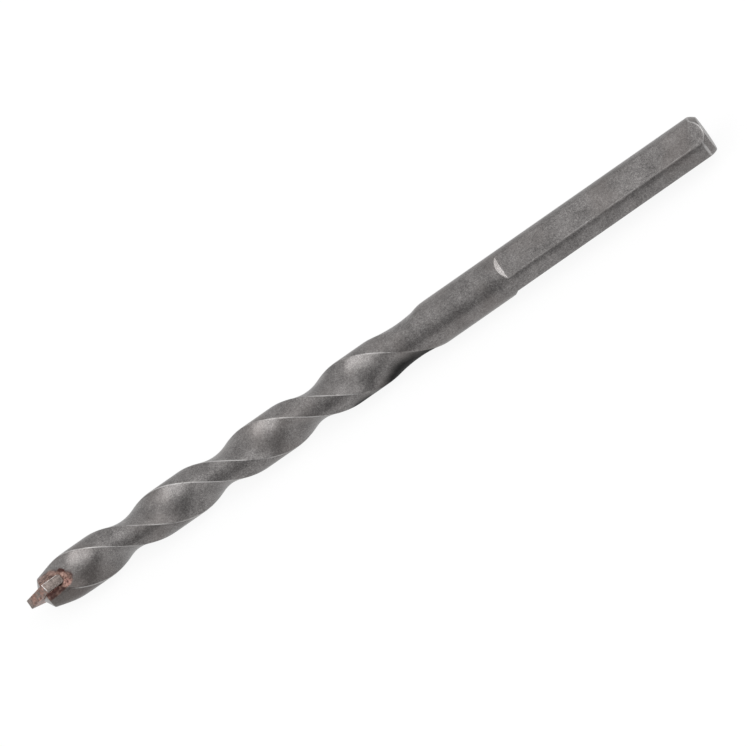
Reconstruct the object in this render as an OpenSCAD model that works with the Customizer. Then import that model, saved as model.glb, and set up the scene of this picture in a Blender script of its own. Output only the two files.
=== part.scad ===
// Glass and tile drill bit: round steel bar with two slow flutes, three-flat shank
// and a carbide plate brazed into a slot across the nose.
// Modelled along its own axis from the point, then laid down as it rests.

/* [Bit] */
// overall length, from the point to the end of the shank
total_len = 100; // [85:1:140]
// length of the fluted part, from the point to the round neck
flute_len = 60; // [48:1:70]
// length of the three-flat grip at the shank end
grip_len = 29.8; // [20:0.2:34]
// cutting diameter, across the carbide plate
tip_d = 6; // [5.6:0.1:6.6]
// how far the carbide stands outside the steel bar, on the radius
tip_stand = 0.1; // [0.05:0.01:0.2]
// roll of the bit about its own axis as it lies
rest_roll = 50; // [45:1:54]

/* [Flutes] */
// length of one full turn of a flute
lead = 27.4; // [22:0.2:36]
// thickness of the steel left between the two flutes
web_t = 3.9; // [3.5:0.1:4.4]
// radius of the crown across the floor of a flute
crown_r = 6.6; // [6:0.1:9]
// length over which a flute gets shallower before the neck
runout_len = 10; // [7:0.5:14]
// length of the short ramp that ends a flute
ramp_len = 1.3; // [1:0.1:2.5]
// share of the flute's depth lost before that ramp
runout_share = 0.52; // [0.3:0.01:0.7]
// how much sooner the trailing edge of a flute runs out than its leading edge
runout_slant = 2.4; // [0:0.1:4]

/* [Nose] */
// distance from the point back to the shoulder of the nose
nose_front = 2.58; // [2.3:0.02:2.9]
// diameter of the nose at that shoulder
nose_d = 4.22; // [3.7:0.02:4.4]
// distance from the point back to where the nose meets the full bar
nose_len = 7.2; // [6.5:0.1:9]
// angle of the ground face at the front of the nose
face_angle = 123; // [105:1:130]

/* [Shank] */
// depth of a grip flat below the round
flat_depth = 0.5; // [0.3:0.02:0.7]
// length of the slope that leads from the round down to a flat
flat_slope = 0.65; // [0.3:0.05:1.2]
// length of the crowned chamfer at the end of the shank
end_len = 0.85; // [0.4:0.05:1.2]
// how far that chamfer cuts in, on the radius
end_cut = 0.57; // [0.3:0.01:0.8]

/* [Carbide plate] */
// thickness of the plate
plate_t = 1.2; // [1:0.05:1.5]
// length of the plate, from its point to its heel
plate_len = 5.4; // [5:0.1:6]
// radius on the two long edges of the heel
heel_r = 0.35; // [0.2:0.05:0.5]
// angle between the two ground slopes of the point
point_angle = 89; // [86:1:110]
// turn of the ground slopes against the plate, which clears the lips
lip_turn = 10; // [4:1:14]

/* [Braze] */
// braze between a side of the plate and the slot
braze_side = 0.1; // [0.05:0.01:0.16]
// braze between the heel of the plate and the bottom of the slot
braze_heel = 0.4; // [0.2:0.05:0.6]

/* [Hidden] */
$fn = 96;

body_r = tip_d / 2 - tip_stand;
web_r = web_t / 2;
flute_depth = body_r - web_r;

// half the angle that a flute takes out of the round
crown_back = crown_r - web_r;
flute_half = acos((crown_r * crown_r - body_r * body_r - crown_back * crown_back) / (2 * body_r * crown_back));

neck_end = total_len - grip_len;
slope_end = neck_end + flat_slope / 2;
flat_r = body_r - flat_depth;
end_r = body_r - end_cut;

// ball that crowns the end of the shank: through the edge of the round and the edge of the end face
end_back = (body_r * body_r + end_len * end_len - end_r * end_r) / (2 * end_len);
end_ball_r = sqrt(end_r * end_r + end_back * end_back);
end_from = total_len - 1.1 * end_len;

// turns of the features about the axis, as they sit in the lying bit
flute_turn = -287;
plate_turn = -10.8;
flat_turns = [-19.5, 100.5, 220.5];

// stations along the fluted length, closer together in the nose and where the flutes run out
runout_from = flute_len - runout_len;
nose_steps = 10;
plain_steps = 60;
runout_steps = 22;

// points across the floor of a flute and round a land
floor_steps = 8;
land_steps = 10;
ring_size = 2 * (floor_steps + land_steps);

// the fluted length stays a hair inside the round it runs into, and a plug on its end reaches into it
skin = 0.012;
plug_r = 0.9 * body_r;
plug_len = 0.4;
neck_from = flute_len - 0.1;
nose_r = nose_d / 2;
nose_drop = body_r - nose_r;
nose_run = nose_len - nose_front;
nose_arc_r = (nose_run * nose_run + nose_drop * nose_drop) / (2 * nose_drop);
front_r = plate_t / 2 - 0.1;
front_z = nose_front - (nose_r - front_r) / tan(face_angle / 2);

slot_t = plate_t + 2 * braze_side;
slot_len = plate_len + braze_heel;
over = 2;

stations = concat(
    [front_z],
    [for (i = [0 : nose_steps - 1]) nose_front + i * nose_run / nose_steps],
    [for (i = [0 : plain_steps - 1]) nose_len + i * (runout_from - nose_len) / plain_steps],
    [for (i = [0 : runout_steps]) runout_from + i * runout_len / runout_steps],
    [flute_len + plug_len]
);

// eased share from 0 to 1
function ease(u) = let (c = min(1, max(0, u))) c * c * (3 - 2 * c);

// height of a flute's floor above the axis at a station
function floor_at(s) =
    let (a = (s - runout_from) / (runout_len - 2.5 * ramp_len))
    let (b = max(0, (s - flute_len + ramp_len) / ramp_len))
    let (up = flute_depth * (runout_share * ease(a) + (1 - runout_share) * pow(b, 1.2)))
    min(web_r + up, body_r - 2 * skin);

// crown of a floor at a height above the axis, as wide as the full flute and rounder as it rises
function crown_at(h) =
    (h * h + body_r * body_r - 2 * body_r * h * cos(flute_half)) / (2 * (h - body_r * cos(flute_half)));

// radius of the crowned floor at an angle from the middle of the flute
function floor_radius(h, a) =
    let (k = crown_at(h))
    let (c = k - h)
    sqrt(k * k - c * c * sin(a) * sin(a)) - c * cos(a);

// radius that the outside allows at a station: ground face, curve into the round, plug inside the neck
function outer_radius(s) =
    let (d = max(0, nose_len - s))
    s < nose_front ? nose_r - (nose_front - s) * tan(face_angle / 2)
        : s > flute_len ? plug_r
        : body_r - nose_arc_r + sqrt(nose_arc_r * nose_arc_r - d * d);

// section of the fluted length at a station: floor, land, floor, land
function ring(s) =
    let (cap = outer_radius(s) - skin)
    [for (side = [0, 180]) for (i = [0 : floor_steps + land_steps - 1])
        let (on_land = max(0, i - floor_steps) / land_steps)
        let (a = flute_half * (2 * min(i, floor_steps) / floor_steps - 1) + (180 - 2 * flute_half) * on_land)
        let (h = floor_at(s + runout_slant * (a / flute_half + 1) / 2))
        let (r = min(cap, i < floor_steps ? floor_radius(h, a) : body_r - skin))
        let (turn = side + a + flute_turn + 360 * s / lead)
        [r * cos(turn), r * sin(turn), s]];

// fluted length from its ground face back to the station given
module fluted(last) {
    points = [for (j = [0 : last]) each ring(stations[j])];
    sides = [for (j = [0 : last - 1]) for (i = [0 : ring_size - 1])
        let (a = j * ring_size + i)
        let (b = j * ring_size + (i + 1) % ring_size)
        each [[a, a + ring_size, b], [b, a + ring_size, b + ring_size]]];
    front = [for (i = [0 : ring_size - 1]) i];
    back = [for (i = [0 : ring_size - 1]) (last + 1) * ring_size - 1 - i];
    polyhedron(points, concat([front], sides, [back]), convexity = 6);
}

// round neck and shank with a crowned end
module shank() {
    intersection() {
        translate([0, 0, neck_from])
            cylinder(r = body_r, h = total_len - neck_from);
        union() {
            translate([0, 0, neck_from - over])
                cylinder(r = 2 * body_r, h = end_from - neck_from + over);
            translate([0, 0, total_len - end_back])
                sphere(r = end_ball_r);
        }
    }
}

// one grip flat with the slope that leads down to it, as the solid that is cut away
module grip_flat() {
    pitch = flat_slope / flat_depth;
    rotate([90, 0, 0])
        linear_extrude(height = 4 * body_r, center = true)
            polygon([
                [flat_r, slope_end],
                [flat_r + 2 * flat_depth, slope_end - 2 * flat_depth * pitch],
                [flat_r + over * body_r, slope_end - 2 * flat_depth * pitch],
                [flat_r + over * body_r, total_len + over],
                [flat_r, total_len + over]
            ]);
}

// outline of the plate or its slot seen on its narrow edge, with a rounded heel
module edge_outline(t, len, r) {
    translate([-t / 2, -over])
        square([t, over + len - r]);
    translate([-t / 2 + r, len - 2 * r])
        square([t - 2 * r, 2 * r]);
    for (side = [-1, 1])
        translate([side * (t / 2 - r), len - r])
            circle(r = r);
}

// a plate across the axis, from in front of the point back to its heel
module cross_plate(t, len, r, half) {
    rotate([0, 0, plate_turn])
        rotate([90, 0, 90])
            linear_extrude(height = 2 * half, center = true)
                edge_outline(t, len, r);
}

// roof that grinds the two slopes of the point
module roof() {
    side = tip_d;
    rotate([0, 0, plate_turn + lip_turn])
        rotate([90, 0, 0])
            linear_extrude(height = 2 * side, center = true)
                polygon([
                    [0, 0],
                    [side, side / tan(point_angle / 2)],
                    [side, 2 * side],
                    [-side, 2 * side],
                    [-side, side / tan(point_angle / 2)]
                ]);
}

module carbide_blank() {
    intersection() {
        cross_plate(plate_t, plate_len, heel_r, tip_d);
        roof();
        translate([0, 0, -over])
            cylinder(r = tip_d / 2, h = 2 * over + plate_len);
    }
}

module slot() {
    cross_plate(slot_t, slot_len, heel_r + braze_side, tip_d);
}

// lays the bit down: axis along X, point to -X, resting on the round of the bar
module lying() {
    translate([0, 0, body_r])
        rotate([-90 - rest_roll, 0, 0])
            rotate([0, 90, 0])
                translate([0, 0, -total_len / 2])
                    children();
}

module drill_body() {
    color([0.47, 0.46, 0.45])
        lying() {
            difference() {
                fluted(len(stations) - 1);
                slot();
            }
            difference() {
                shank();
                for (turn = flat_turns)
                    rotate([0, 0, turn])
                        grip_flat();
            }
        }
}

module carbide_tip() {
    color([0.36, 0.36, 0.37])
        lying()
            carbide_blank();
}

module braze() {
    color([0.72, 0.45, 0.36])
        lying()
            difference() {
                intersection() {
                    fluted(nose_steps + 1);
                    slot();
                }
                carbide_blank();
            }
}

drill_body();
carbide_tip();
braze();
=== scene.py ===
import math

import bmesh
import bpy
import numpy as np
from mathutils import Matrix, Vector


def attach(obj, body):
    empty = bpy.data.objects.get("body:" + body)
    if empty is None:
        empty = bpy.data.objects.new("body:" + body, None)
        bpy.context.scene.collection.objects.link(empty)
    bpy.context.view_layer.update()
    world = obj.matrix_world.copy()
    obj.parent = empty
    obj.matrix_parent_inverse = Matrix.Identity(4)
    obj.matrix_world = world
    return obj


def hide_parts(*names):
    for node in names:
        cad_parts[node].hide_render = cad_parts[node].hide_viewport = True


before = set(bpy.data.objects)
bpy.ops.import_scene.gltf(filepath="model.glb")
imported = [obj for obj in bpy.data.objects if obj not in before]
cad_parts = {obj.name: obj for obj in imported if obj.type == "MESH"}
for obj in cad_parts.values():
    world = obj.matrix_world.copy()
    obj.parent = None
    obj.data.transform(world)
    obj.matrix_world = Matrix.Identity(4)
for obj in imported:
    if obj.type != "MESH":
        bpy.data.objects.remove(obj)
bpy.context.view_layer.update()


# Steel body: one bar of blasted grey steel, 100 mm long, with two slow right-hand flutes that run
# out into a round neck, three milled grip flats and a crowned end. The nose is turned to a short
# curve and slotted for the carbide plate. Lengths are millimetres from the point, turns degrees.
total_len, flute_len, body_r = 100.0, 60.0, 2.9
lead, flute_turn, web_r, crown_r = 27.4, -287.0, 1.95, 6.6
runout_len, ramp_len, runout_share, runout_slant = 10.0, 1.3, 0.52, 2.4
nose_front, nose_r, nose_len, face_angle = 2.58, 2.11, 7.2, 123.0
flat_turns, flat_r, flat_depth = (-19.5, 100.5, 220.5), 2.4, 0.5
slope_end, flat_slope = 70.525, 0.65
end_len, end_r = 0.85, 2.33
plate_turn, plate_t, plate_len = -10.8, 1.2, 5.4
slot_t, slot_len, slot_heel_r, slot_half = 1.4, 5.8, 0.45, 6.0
land_round, flat_round, nose_round, face_round, end_round = 0.03, 0.012, 0.02, 0.03, 0.015
rest_roll = math.radians(50.0)
mm_per_m = 1000

# the bit's own directions as it lies: across towards the camera, across upwards, and along
towards = np.array([0.0, -math.cos(rest_roll), math.sin(rest_roll)])
upwards = np.array([0.0, math.sin(rest_roll), math.cos(rest_roll)])
along = np.array([1.0, 0.0, 0.0])
lifted = np.array([0.0, 0.0, body_r])


def lay(points):
    """Places points given across the axis and along it, in mm, as the lying bit, in metres."""
    p = np.asarray(points, float)
    out = p[..., :1] * towards - p[..., 1:2] * upwards + (p[..., 2:3] - total_len / 2) * along
    return (out + lifted) / mm_per_m


def own(points):
    """Turns lying points back into angle (degrees), radius and length along the bit, in mm."""
    p = np.asarray(points, float) * mm_per_m - lifted
    x, y = p @ towards, -(p @ upwards)
    return np.degrees(np.arctan2(y, x)), np.hypot(x, y), p[:, 0] + total_len / 2


def round_axis(turn, r, s):
    """Points at a turn and a radius from the axis, and a length along it."""
    return np.stack([r * np.cos(np.radians(turn)), r * np.sin(np.radians(turn)), s], -1)


def eased(u):
    """Share from 0 to 1 with soft ends."""
    u = np.clip(u, 0, 1)
    return u * u * (3 - 2 * u)


def softer(a, b, k):
    """The lesser of two radii with the corner between them rounded over."""
    return np.minimum(a, b) - k * np.log1p(np.exp(-np.abs(a - b) / k))


def from_turn(angle, turn, period):
    """How far an angle lies from the nearest repeat of a turn."""
    return (angle - turn + period / 2) % period - period / 2


def from_flute(angle, s):
    return from_turn(angle, flute_turn + 360 * s / lead, 180)


def floor_height(s):
    """Height of a flute's floor above the axis: full depth, slowly shallower, then a short ramp."""
    slow = eased((s - flute_len + runout_len) / (runout_len - 2.5 * ramp_len))
    ramp = np.clip((s - flute_len + ramp_len) / ramp_len, 0, 1.6) ** 1.2
    return web_r + (body_r - web_r) * (runout_share * slow + (1 - runout_share) * ramp)


crown_back = crown_r - web_r
cos_half = (crown_r ** 2 - body_r ** 2 - crown_back ** 2) / (2 * body_r * crown_back)
half_flute = math.degrees(math.acos(cos_half))
half_flat = math.degrees(math.acos(flat_r / body_r))
end_back = (body_r ** 2 + end_len ** 2 - end_r ** 2) / (2 * end_len)
end_ball_r = math.hypot(end_r, end_back)
crown_from = total_len - 2 * end_len


def floor_radius(h, a):
    """A flute's floor keeps the width of the full flute and gets rounder as it rises."""
    crown = (h ** 2 + body_r ** 2 - 2 * body_r * h * cos_half) / (2 * (h - body_r * cos_half))
    return np.sqrt(crown ** 2 - ((crown - h) * np.sin(a)) ** 2) - (crown - h) * np.cos(a)


def end_radius(s):
    return np.sqrt(end_ball_r ** 2 - (s - total_len + end_back) ** 2)


def shaft_radius(angle, s):
    """Outside of the steel: flutes, then flats, nose, ground face and crowned end cut into the round."""
    least_cut, past_flat = 0.02, 70
    a = from_flute(angle, s)
    h = floor_height(s + runout_slant * (np.clip(a / half_flute, -1, 1) + 1) / 2)
    highest = body_r - least_cut
    floor = floor_radius(np.minimum(h, highest), np.radians(a)) + np.maximum(0, h - highest)
    r = softer(np.full_like(floor, body_r), floor, land_round)

    level = flat_r + np.maximum(0, slope_end - s) * flat_depth / flat_slope
    for turn in flat_turns:
        off = np.radians(np.clip(from_turn(angle, turn, 360), -past_flat, past_flat))
        r = softer(r, level / np.cos(off), flat_round)

    drop, run = body_r - nose_r, nose_len - nose_front
    arc = (run ** 2 + drop ** 2) / (2 * drop)
    back = np.clip(nose_len - s, 0, run)
    nose = body_r - arc + np.sqrt(arc ** 2 - back ** 2)
    r = np.where(s < nose_len, softer(r, nose, nose_round), r)
    face = nose_r + (s - nose_front) * math.tan(math.radians(face_angle / 2))
    r = softer(r, face, face_round)
    return np.where(s > crown_from, softer(r, end_radius(np.maximum(s, crown_from)), end_round), r)


# rings of points along the bar, turned with the flutes and closer together where the shape changes
columns = 220
stations = np.concatenate([
    np.linspace(1.7, 2.8, 18), np.linspace(2.86, 7.6, 40), np.arange(7.8, 56.9, 0.25),
    np.linspace(57, 61.2, 26), np.arange(61.8, 69.4, 0.7), np.linspace(69.6, 70.9, 40),
    np.arange(71.5, 98.5, 1.1), np.linspace(98.8, 100, 30),
])
ring_s = np.repeat(stations[:, None], columns, 1)
ring_turn = flute_turn + 360 * np.minimum(ring_s, flute_len) / lead
ring_turn = ring_turn + np.arange(columns)[None, :] * 360 / columns
rings = round_axis(ring_turn, shaft_radius(ring_turn, ring_s), ring_s).reshape(-1, 3)
caps = [[0, 0, stations[0]], [0, 0, total_len]]
points = lay(rings).tolist() + lay(caps).tolist()
front_cap, end_cap, last = len(rings), len(rings) + 1, len(rings) - columns
neighbours = [(i, (i + 1) % columns) for i in range(columns)]
faces = []
for j in range(0, last, columns):
    faces += [(j + i, j + k, j + columns + k, j + columns + i) for i, k in neighbours]
for i, k in neighbours:
    faces += [(front_cap, k, i), (end_cap, last + i, last + k)]


def new_piece(name, verts, faces):
    mesh = bpy.data.meshes.new(name)
    mesh.from_pydata(verts, [], faces)
    mesh.update()
    piece = bpy.data.objects.new(name, mesh)
    bpy.context.collection.objects.link(piece)
    return piece


def face_outwards(piece):
    """Drops points that no face uses and turns every face outwards."""
    bm = bmesh.new()
    bm.from_mesh(piece.data)
    bmesh.ops.delete(bm, geom=[v for v in bm.verts if not v.link_faces], context="VERTS")
    bmesh.ops.recalc_face_normals(bm, faces=bm.faces)
    bm.to_mesh(piece.data)
    bm.free()


def cross_plate(name, t, length, heel_r, half):
    """A plate across the axis with a rounded heel, turned to where the slot was sawn."""
    before_point = -2.0
    heel = np.radians(np.linspace(0, 90, 9))
    side = [(t / 2, before_point)]
    side += [(t / 2 - heel_r + heel_r * math.cos(a), length - heel_r + heel_r * math.sin(a)) for a in heel]
    outline = side + [(-y, s) for y, s in reversed(side)]
    n = len(outline)
    c, d = math.cos(math.radians(plate_turn)), math.sin(math.radians(plate_turn))
    verts = [(x * c - y * d, x * d + y * c, s) for x in (-half, half) for y, s in outline]
    faces = [tuple(reversed(range(n))), tuple(range(n, 2 * n))]
    faces += [(i, (i + 1) % n, n + (i + 1) % n, n + i) for i in range(n)]
    piece = new_piece(name, lay(verts).tolist(), faces)
    face_outwards(piece)
    return piece


def settle(piece, sharp):
    """Applies the piece's modifiers to its mesh and shades it smooth up to the angle given."""
    view = bpy.context.evaluated_depsgraph_get()
    made = bpy.data.meshes.new_from_object(piece.evaluated_get(view))
    piece.modifiers.clear()
    piece.data = made
    made.shade_smooth()
    made.set_sharp_from_angle(angle=math.radians(sharp))


body = new_piece("steel_body", points, faces)
face_outwards(body)
saw = cross_plate("slot_saw", slot_t, slot_len, slot_heel_r, slot_half)
cut = body.modifiers.new("slot", "BOOLEAN")
cut.operation, cut.solver, cut.object = "DIFFERENCE", "EXACT", saw
settle(body, 32)
bpy.data.objects.remove(saw)


def own_points(piece):
    """Angle, radius and length along the bit of every point of a piece."""
    place = np.empty(len(piece.data.vertices) * 3)
    piece.data.vertices.foreach_get("co", place)
    return own(place.reshape(-1, 3))


def mark(piece, name, values):
    """Keeps a share of the surface on the mesh, for the finish to read: wear, stains, braze, and painted
    light and shade.
    """
    layer = piece.data.attributes.new(name, "FLOAT", "POINT")
    layer.data.foreach_set("value", np.clip(values, 0, 1).astype(np.float32))


def near(value, width):
    return np.exp(-(value / width) ** 2)


# rubbed bright: land edges, slopes and edges of the flats, crowned end, end face and ground face; along the
# flats' edges a thin line, brighter on one side, is a painted highlight
edge_wear, flat_sheen_width, crown_wear = 0.085, 0.06, 0.10
edge_from, leading_to, trailing_to = 4.6, 58.5, 52.0
flat_line_inset, slope_shine, end_shine, face_shine = 0.15, 0.4, 0.35, 0.9
angle, radius, length = own_points(body)
off = from_flute(angle, length)
to_edge = np.radians(np.abs(np.abs(off) - half_flute)) * body_r
edge_to = np.where(off < 0, leading_to, trailing_to)
rub = near(to_edge, edge_wear) * eased((length - edge_from) / 2.4) * eased((edge_to - length) / 5)
on_slope = eased((slope_end - length) / 0.4) * eased((length - slope_end + flat_slope) / 0.1)
for turn in flat_turns:
    off = from_turn(angle, turn, 360)
    rub = np.maximum(rub, slope_shine * on_slope * eased((half_flat + 1 - np.abs(off)) / 6))
    # painted highlight: a thin bright line just inside each flat's edge, stronger on one side
    to_line = np.radians(np.abs(off) - half_flat) * body_r + flat_line_inset
    line_shine = np.where(off > 0, 0.6, 0.3) * eased((length - slope_end) / 0.4)
    rub = np.maximum(rub, line_shine * near(to_line, flat_sheen_width))
to_crown = shaft_radius(angle, np.full_like(length, crown_from)) - end_radius(np.maximum(length, crown_from))
rub = np.maximum(rub, near(to_crown, crown_wear) * (length > crown_from))
rub = np.maximum(rub, end_shine * eased((length - total_len + 0.9) / 0.2))
rub = np.maximum(rub, face_shine * eased((nose_front - length) / 0.06))
mark(body, "rub", rub)

# painted shade: a near-black patch on the lower side of the run-out and low on the land before it
painted_shade_from, painted_shade_to, painted_shade_middle, painted_shade_far = 45.0, 59.2, 60.0, 125
around = from_turn(angle, painted_shade_middle, 360) + painted_shade_middle
in_runout = np.clip((around - 50.0 + 42.0 * eased((length - 50.0) / 4.4)) / 52, 0, 1)
on_land = np.clip((around - 49.0) / 30, 0, 1) * eased((49.8 - length) / 1.8)
past_edge = eased((from_turn(angle, flute_turn + 360 * length / lead, 360) + half_flute) / 3)
# the scale share is painted shade, darkest on the side of the run-out that faces down
scale = np.maximum(in_runout, on_land) * eased((painted_shade_far - around) / 15) * past_edge
mark(body, "scale", scale * eased((length - painted_shade_from) / 2.0) * eased((painted_shade_to - length) / 1.6))

# darker brown towards the point, on the lower side of the nose
low_nose_to = 13.0
mark(body, "tempered", eased((low_nose_to - length) / 8.0) * eased((np.sin(np.radians(angle)) + 0.25) / 0.7))


def braze_marks(piece, angle, radius, length):
    """How far braze has flowed over a surface beside the plate, where it is burned dark at its rim, where
    painted shade darkens a band beside the plate, and where it pooled.
    """
    flow_middle, flow_len, flow_above, flow_below = 3.2, 3.5, 2.3, 1.45
    pool_beside, pool_s = 0.8, 5.75
    off = from_turn(angle, plate_turn, 180)
    beside = radius * np.sin(np.radians(off))
    on_ends = eased((np.abs(np.cos(np.radians(off))) - 0.1) / 0.3)
    below = eased((beside + 0.3) / 0.6)
    bend = 1.5 + 1.5 * below
    flow_side = flow_above - (flow_above - flow_below) * below
    spread = np.abs((length - flow_middle) / flow_len) ** bend + np.abs(beside / flow_side) ** bend
    ground = eased((nose_front + 0.02 - length) / 0.1)
    mark(piece, "copper", eased((1.35 - spread) / 0.8) * on_ends * (1 - 0.85 * ground))
    # painted shade: a dark maroon band along one side of the plate, below it as it lies
    under = eased((beside - 0.45) / 0.25) * eased((1.75 - beside) / 0.4)
    under = under * eased((plate_len + 0.2 - length) / 0.8)
    rim = near(spread - 0.98, 0.24) * eased((length - plate_len + 0.9) / 0.6) * eased((1.1 - beside) / 0.5)
    mark(piece, "soot", np.maximum(0.78 * under, 0.95 * rim) * on_ends)
    to_pool = np.hypot((beside - pool_beside) / 0.7, (length - pool_s) / 0.6)
    mark(piece, "pool", near(to_pool, 1.0) * on_ends)


braze_marks(body, angle, radius, length)


class Tone:
    """A value on its way through a finish. Sums on it add the nodes that work them out."""

    def __init__(self, finish, socket):
        self.finish, self.socket = finish, socket

    def sum(self, operation, a, b):
        return self.finish.add("ShaderNodeMath", {"operation": operation}, {0: a, 1: b})

    def __add__(self, other): return self.sum("ADD", self, other)
    def __radd__(self, other): return self.sum("ADD", other, self)
    def __sub__(self, other): return self.sum("SUBTRACT", self, other)
    def __rsub__(self, other): return self.sum("SUBTRACT", other, self)
    def __mul__(self, other): return self.sum("MULTIPLY", self, other)
    def __rmul__(self, other): return self.sum("MULTIPLY", other, self)


class Finish:
    """The nodes of a material or of the world, added one by one."""

    def __init__(self, owner):
        owner.use_nodes = True
        self.material = owner
        self.nodes = owner.node_tree.nodes
        self.links = owner.node_tree.links

    def add(self, kind, settings, sockets, out=0):
        """Adds a node of the type given: settings and a ramp's stops first, then its sockets."""
        node = self.nodes.new(kind)
        for key, value in settings.items():
            if key != "stops":
                setattr(node, key, value)
                continue
            ramp = node.color_ramp
            while len(ramp.elements) < len(value):
                ramp.elements.new(0.5)
            for element, (at, colour) in zip(ramp.elements, value):
                element.position, element.color = at, (*colour, 1)
        self.feed(node, sockets)
        return Tone(self, node.outputs[out])

    def feed(self, node, sockets):
        node = self.nodes[node] if isinstance(node, str) else node
        for key, value in sockets.items():
            if isinstance(value, Tone):
                self.links.new(value.socket, node.inputs[key])
            else:
                node.inputs[key].default_value = value

    def grain(self, scale, detail=2.0, rough=0.5):
        where = self.add("ShaderNodeTexCoord", {}, {}, "Object")
        sockets = {"Vector": where, "Scale": scale, "Detail": detail, "Roughness": rough}
        return self.add("ShaderNodeTexNoise", {}, sockets)

    def ramp(self, value, *stops):
        return self.add("ShaderNodeValToRGB", {"stops": stops}, {0: value})

    def between(self, value, low, high):
        smooth = {"interpolation_type": "SMOOTHSTEP"}
        return self.add("ShaderNodeMapRange", smooth, {0: value, 1: low, 2: high})

    def mix(self, share, a, b):
        return self.add("ShaderNodeMix", {"data_type": "RGBA"}, {0: share, 6: a, 7: b}, 2)

    def bump(self, height, distance):
        return self.add("ShaderNodeBump", {}, {"Height": height, "Distance": distance})

    def worn(self, name):
        return self.add("ShaderNodeAttribute", {"attribute_name": name}, {}, "Fac")


brown_tint, low_nose_brown = (0.185, 0.165, 0.156, 1), (0.078, 0.062, 0.055, 1)
# bare steel: rubbed edges, and painted highlights along the flats' edges
# near black: painted shade low on the run-out
painted_shade_black, bare_steel_and_sheen = (0.006, 0.006, 0.006, 1), (0.52, 0.51, 0.505, 1)
# maroon: the braze's burned rim, and painted shade beside the plate
maroon_burn_and_shade = (0.052, 0.020, 0.018, 1)
steel = Finish(bpy.data.materials.new("blasted_steel"))
grit = steel.grain(8500, 1, 0.5)
blast = steel.grain(3600, 3, 0.65)
cloud = steel.grain(420, 4, 0.6)
grey = steel.ramp(
    0.4 * grit + 0.3 * blast + 0.3 * cloud,
    (0.36, (0.088, 0.083, 0.082)), (0.50, (0.174, 0.166, 0.163)), (0.64, (0.290, 0.277, 0.272)))
warm = steel.between(steel.grain(180, 2, 0.5), 0.45, 0.7)
tinted = steel.mix(0.35 * warm, grey, brown_tint)
# darker brown towards the point on the lower side of the nose
low_nose_darkened = steel.mix(steel.worn("tempered") * (0.25 + 0.7 * cloud), tinted, low_nose_brown)
# painted shade: near black and rougher where the scale share is high
painted_shade_share = steel.between(steel.worn("scale") * (0.7 + 0.6 * steel.grain(900, 3, 0.6)), -0.02, 1.0)
darkened = steel.mix(0.97 * painted_shade_share, low_nose_darkened, painted_shade_black)
broken = 2.3 * steel.grain(260, 2) + 0.8 * steel.grain(2400, 3, 0.6) - 0.6
# bare rubbed steel on worn edges, with painted highlights along the flats' edges
rubbed_and_sheen = steel.between(steel.worn("rub") * broken, 0.30, 0.95)
bright = steel.mix(0.72 * rubbed_and_sheen, darkened, bare_steel_and_sheen)


def copper_tone(finish):
    """Copper braze: dull brown where it is thin, pink where it pooled, dark maroon at its burned rim and as
    painted shade beside the plate.
    """
    flow = finish.grain(1500, 4, 0.65)
    pits = finish.grain(3800, 3, 0.6)
    brown = finish.ramp(
        0.5 * flow + 0.5 * pits,
        (0.38, (0.050, 0.030, 0.025)), (0.50, (0.205, 0.124, 0.101)), (0.62, (0.400, 0.262, 0.222)))
    pink = finish.ramp(
        pits, (0.38, (0.110, 0.053, 0.046)), (0.50, (0.275, 0.146, 0.124)), (0.62, (0.460, 0.275, 0.238)))
    pooled = finish.between(finish.worn("pool") + 0.8 * (flow - 0.5), 0.30, 0.80)
    fresh = finish.mix(0.7 * pooled, brown, pink)
    # dark share: the bead's burned rim and painted shade beside the plate
    burnt_and_shaded = finish.worn("soot") + 1.7 * (finish.grain(1300, 4, 0.65) - 0.5) + 0.8 * (pits - 0.5)
    return finish.mix(0.90 * finish.between(burnt_and_shaded, 0.30, 0.90), fresh, maroon_burn_and_shade)


coppered = steel.between(steel.worn("copper") + steel.grain(1000, 4, 0.65) - 0.5, 0.22, 0.78)
steel.feed("Principled BSDF", {
    "Base Color": steel.mix(0.9 * coppered, bright, copper_tone(steel)), "Metallic": 0.9,
    "Roughness": 0.36 + 0.2 * (blast - 0.5) + 0.1 * (cloud - 0.5) + 0.2 * rubbed_and_sheen + 0.3 * painted_shade_share,
    "Normal": steel.bump(blast + 0.6 * cloud, 0.00002),
})
body.data.materials.clear()
body.data.materials.append(steel.material)
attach(body, "root")
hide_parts("drill_body")


# Carbide plate: sintered tungsten carbide, pressed with a rounded heel, brazed into the slot and
# then ground to a spear point and to the cutting diameter. Its ground slopes show fine grit lines,
# its face near the point a copper flush, and its leading edges a bright ground lip, painted brighter as a
# highlight.
point_angle, lip_turn, heel_r, plate_half = 89.0, 10.0, 0.35, 2.96
edge_bevel, keen_from, keen_to, front_to = 0.07, 2.6, 4.9, 3.2
leading_side, lip_side = 0.40, 0.45
plate = cross_plate("carbide_plate", plate_t, plate_len, heel_r, plate_half)
bm = bmesh.new()
bm.from_mesh(plate.data)
point = lay([0.0, 0.0, 0.0])
slope = math.radians(point_angle / 2)
for side in (0, 180):
    out = round_axis(plate_turn + lip_turn + side, math.cos(slope), -math.sin(slope))
    normal = Vector((lay(out) - point).tolist()).normalized()
    ground = bmesh.ops.bisect_plane(
        bm, geom=bm.verts[:] + bm.edges[:] + bm.faces[:],
        plane_co=Vector(point.tolist()), plane_no=normal, clear_outer=True)
    rim = [e for e in ground["geom_cut"] if isinstance(e, bmesh.types.BMEdge)]
    bmesh.ops.edgenet_fill(bm, edges=rim)
bmesh.ops.recalc_face_normals(bm, faces=bm.faces)
keen = [e for e in bm.edges if len(e.link_faces) == 2 and e.calc_face_angle() > math.radians(25)]
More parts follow.
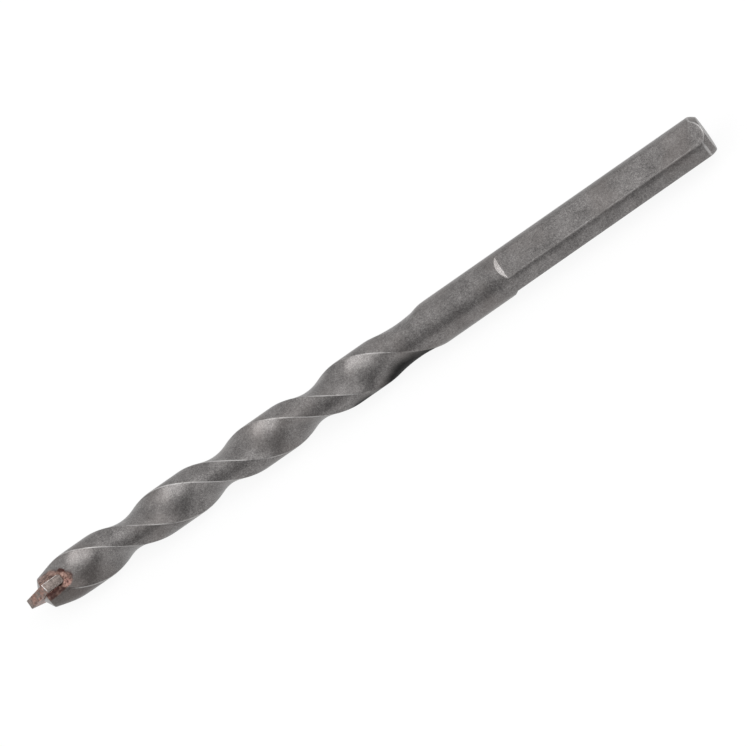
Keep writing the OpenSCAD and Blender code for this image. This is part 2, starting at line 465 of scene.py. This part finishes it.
bevel = bmesh.ops.bevel(
    bm, geom=keen, offset=edge_bevel / mm_per_m, segments=2, affect="EDGES", profile=0.6)
for face in bevel["faces"]:
    (turn,), (out,), (s,) = own([face.calc_center_median()])
    leading = out * math.sin(math.radians(from_turn(turn, plate_turn, 180))) < -leading_side
    face.material_index = int(out > keen_from and s < keen_to and (leading or s < front_to))
bm.to_mesh(plate.data)
bm.free()
plate.data.shade_smooth()
plate.data.set_sharp_from_angle(angle=math.radians(28))
angle, radius, length = own_points(plate)
# lip: the leading ground edges, brightened as a painted highlight
mark(plate, "lip", radius * np.sin(np.radians(from_turn(angle, plate_turn, 180))) < -lip_side)

carbide = Finish(bpy.data.materials.new("sintered_carbide"))
speck = carbide.grain(6500, 2, 0.6)
patch = carbide.grain(1300, 3, 0.6)
sintered = carbide.ramp(
    0.45 * speck + 0.55 * patch,
    (0.32, (0.080, 0.069, 0.063)), (0.51, (0.178, 0.147, 0.134)), (0.70, (0.340, 0.290, 0.265)))
flush = carbide.ramp(
    carbide.grain(3000, 3, 0.6),
    (0.36, (0.110, 0.060, 0.048)), (0.51, (0.270, 0.152, 0.122)), (0.66, (0.430, 0.262, 0.215)))
where = carbide.add("ShaderNodeTexCoord", {}, {}, "Object")
along_bit = carbide.add("ShaderNodeSeparateXYZ", {}, {0: where}, "X")
near_point = carbide.between(along_bit, -0.0467, -0.0473) * carbide.between(along_bit, -0.0501, -0.0489)
flushed = 0.9 * (near_point * carbide.between(carbide.grain(1600, 3, 0.6), 0.30, 0.58))
grit_lines = carbide.add(
    "ShaderNodeTexWave", {"wave_type": "BANDS", "bands_direction": "X"},
    {"Vector": where, "Scale": 2600.0, "Distortion": 1.5, "Detail": 2.0})
carbide.feed("Principled BSDF", {
    "Base Color": carbide.mix(flushed, sintered, flush), "Metallic": 0.75,
    "Roughness": 0.42 + 0.2 * (speck - 0.5),
    "Normal": carbide.bump(0.5 * grit_lines + speck, 0.000012),
})
plate.data.materials.append(carbide.material)

keen_edge = Finish(bpy.data.materials.new("ground_edge"))
nicks = keen_edge.grain(2600, 3, 0.6)
front_edge = keen_edge.ramp(nicks, (0.38, (0.14, 0.12, 0.11)), (0.64, (0.44, 0.41, 0.40)))
# painted highlight: the lip edges go near white
lip_edge_and_highlight = keen_edge.ramp(nicks, (0.34, (0.40, 0.36, 0.34)), (0.60, (0.88, 0.83, 0.81)))
keen_edge.feed("Principled BSDF", {
    "Base Color": keen_edge.mix(keen_edge.worn("lip"), front_edge, lip_edge_and_highlight), "Metallic": 0.85,
    "Roughness": 0.30 + 0.3 * (nicks - 0.5), "Normal": keen_edge.bump(nicks, 0.00001),
})
plate.data.materials.append(keen_edge.material)
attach(plate, "root")
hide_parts("carbide_tip")


# Braze: copper-coloured filler melted into the slot round the plate. It fills the slot flush and
# has run out over the steel round both ends of the plate as an uneven, heat-stained bead, with painted shade
# in dark maroon beside the plate.
braze = Finish(bpy.data.materials.new("copper_braze"))
flow = braze.grain(1700, 4, 0.6)
braze.feed("Principled BSDF", {
    "Base Color": copper_tone(braze), "Metallic": 0.9, "Roughness": 0.40 + 0.25 * (flow - 0.5),
    "Normal": braze.bump(flow, 0.00005),
})
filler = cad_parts["braze"]
filler.data.materials.clear()
filler.data.materials.append(braze.material)

rng = np.random.default_rng(7)
waves = [
    (rng.uniform(1.5, 5), rng.uniform(1.5, 5), rng.uniform(0, 6.3), rng.uniform(0.5, 1))
    for _ in range(12)
]


def lumps(a, s):
    """Uneven height of the run braze, about 0 to 1."""
    total = sum(h * np.sin(u * a + v * s + p) for u, v, p, h in waves)
    return np.clip(0.5 + 1.1 * total / sum(h for *_, h in waves), 0, 1)


grid, bead_half, bead_from, bead_to = 120, 52, 2.5, 7.0
side_reach, heel_reach, bead_high, bead_sunk, bead_t, under_plate = 0.55, 0.4, 0.12, 0.012, 0.04, 0.12
for end, name in ((0, "braze_bead_front"), (180, "braze_bead_back")):
    off, s = np.meshgrid(np.linspace(-bead_half, bead_half, grid), np.linspace(bead_from, bead_to, grid))
    turn = plate_turn + end + off
    r = shaft_radius(turn, s)
    x = r * np.sin(np.radians(off))
    gap = np.hypot(np.maximum(0, np.abs(x) - plate_t / 2), np.maximum(0, s - plate_len))
    reach = side_reach + heel_reach * eased((s - plate_len + 0.6) / 0.8)
    swell = eased(1 - gap / (reach * (0.8 + 0.4 * lumps(x + end, s))))
    high = bead_high * swell ** 1.2 * (0.5 + 0.7 * lumps(2 * x + 1 + end, 2 * s)) - bead_sunk
    hidden = (np.abs(x) < plate_t / 2 - under_plate) & (s < plate_len - under_plate)
    keep = (swell > 0.001) & ~hidden
    kept = keep[:-1, :-1] & keep[:-1, 1:] & keep[1:, 1:] & keep[1:, :-1]
    corners = (np.arange(grid)[:, None] * grid + np.arange(grid))[:-1, :-1][kept].tolist()
    quads = [(c, c + 1, c + grid + 1, c + grid) for c in corners]
    bead = new_piece(name, lay(round_axis(turn, r + high, s).reshape(-1, 3)).tolist(), quads)
    face_outwards(bead)
    thick = bead.modifiers.new("thick", "SOLIDIFY")
    thick.thickness, thick.offset = bead_t / mm_per_m, -1
    settle(bead, 60)
    braze_marks(bead, *own_points(bead))
    bead.data.materials.clear()
    bead.data.materials.append(braze.material)
    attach(bead, "root")


# Studio: a sheet of pale paper that the bit lies on, five round soft lamps and an even sky that is
# dimmer low at the front. A dark card stands there, which draws the dark band along the round.
floor_half, floor_white = 2, 0.9
floor_corners = [(-1, -1), (1, -1), (1, 1), (-1, 1)]
floor = new_piece("floor", [(floor_half * x, floor_half * y, 0) for x, y in floor_corners], [(0, 1, 2, 3)])
paper = Finish(bpy.data.materials.new("pale_paper"))
paper.feed("Principled BSDF", {
    "Base Color": (0.86, 0.86, 0.86, 1), "Roughness": 0.9, "Specular IOR Level": 0.1})
plain = Tone(paper, paper.nodes["Principled BSDF"].outputs[0])
white = paper.add("ShaderNodeEmission", {}, {"Color": (1, 1, 1, 1), "Strength": 1.0})
ray_kinds = ("Is Camera Ray", "Is Glossy Ray", "Is Transmission Ray")
seen = sum(paper.add("ShaderNodeLightPath", {}, {}, kind) for kind in ray_kinds)
lit = paper.add("ShaderNodeMixShader", {}, {0: floor_white * seen, 1: plain, 2: white})
paper.feed("Material Output", {"Surface": lit})
floor.data.materials.append(paper.material)

# camera: square to the bit with its shank end a little nearer, rolled so that it runs up to the right
lean, roll, away = math.radians(4.65), math.radians(34.9), 2.5
frame_px, pixels_per_m, right_px, up_px, sensor = 747, 8280.0, 6.39, -4.08, 36.0
facing = Vector((math.cos(lean) * towards + math.sin(lean) * along).tolist())
axis = Vector(along.tolist())
level = (axis - axis.dot(facing) * facing).normalized()
rise = facing.cross(level)
right = math.cos(roll) * level - math.sin(roll) * rise
up = math.sin(roll) * level + math.cos(roll) * rise
middle = Vector((0, 0, body_r / mm_per_m)) + (right_px * right + up_px * up) / pixels_per_m
camera = bpy.data.objects.new("camera", bpy.data.cameras.new("camera"))
bpy.context.collection.objects.link(camera)
turned = Matrix((right, up, facing)).transposed().to_4x4()
camera.matrix_world = Matrix.Translation(middle + away * facing) @ turned
camera.data.sensor_width = sensor
camera.data.lens = sensor * away * pixels_per_m / frame_px
camera.data.clip_start, camera.data.clip_end = 0.01, 20
bpy.context.scene.camera = camera

lamp_away = 0.8
for name, direction, size, power in (
    ("lamp_point", (-0.62, -0.07, 0.78), 0.55, 1.95),
    ("lamp_left", (-0.63, -0.55, 0.55), 0.45, 1.1),
    ("lamp_shank", (0.39, 0.095, 0.915), 0.5, 0.48),
    ("lamp_right", (0.9, 0.15, 0.43), 0.4, 1.8),
    ("lamp_front", (0.58, -0.52, 0.63), 0.4, 0.5),
):
    light = bpy.data.lights.new(name, "AREA")
    light.shape, light.size, light.energy = "DISK", size, power
    lamp = bpy.data.objects.new(name, light)
    bpy.context.collection.objects.link(lamp)
    to_lamp = Vector(direction).normalized()
    lamp.location = middle + lamp_away * to_lamp
    lamp.rotation_euler = to_lamp.to_track_quat("Z", "Y").to_euler()

card_at, card_black, card_share = (0.0, -0.92, 0.39), (0.04, 0.04, 0.04, 1), 0.5
bpy.context.scene.world = bpy.data.worlds.new("studio")
sky = Finish(bpy.context.scene.world)
outward = sky.add("ShaderNodeTexCoord", {}, {}, "Generated")
high = sky.add("ShaderNodeSeparateXYZ", {}, {0: outward}, "Z")
behind = sky.add("ShaderNodeSeparateXYZ", {}, {0: outward}, "Y")
glow = sky.ramp(
    0.4 + 0.37 * high + 0.27 * behind,
    (0.0, (0.62,) * 3), (0.27, (0.64,) * 3), (0.50, (0.76,) * 3), (0.77, (0.95,) * 3))
to_card = sky.add("ShaderNodeVectorMath", {"operation": "DOT_PRODUCT"}, {0: outward, 1: card_at}, "Value")
carded = sky.mix(card_share * sky.between(to_card, 0.72, 0.99), glow, card_black)
sky.feed("Background", {"Color": carded, "Strength": 1.0})

bpy.context.scene.view_settings.view_transform = "Standard"
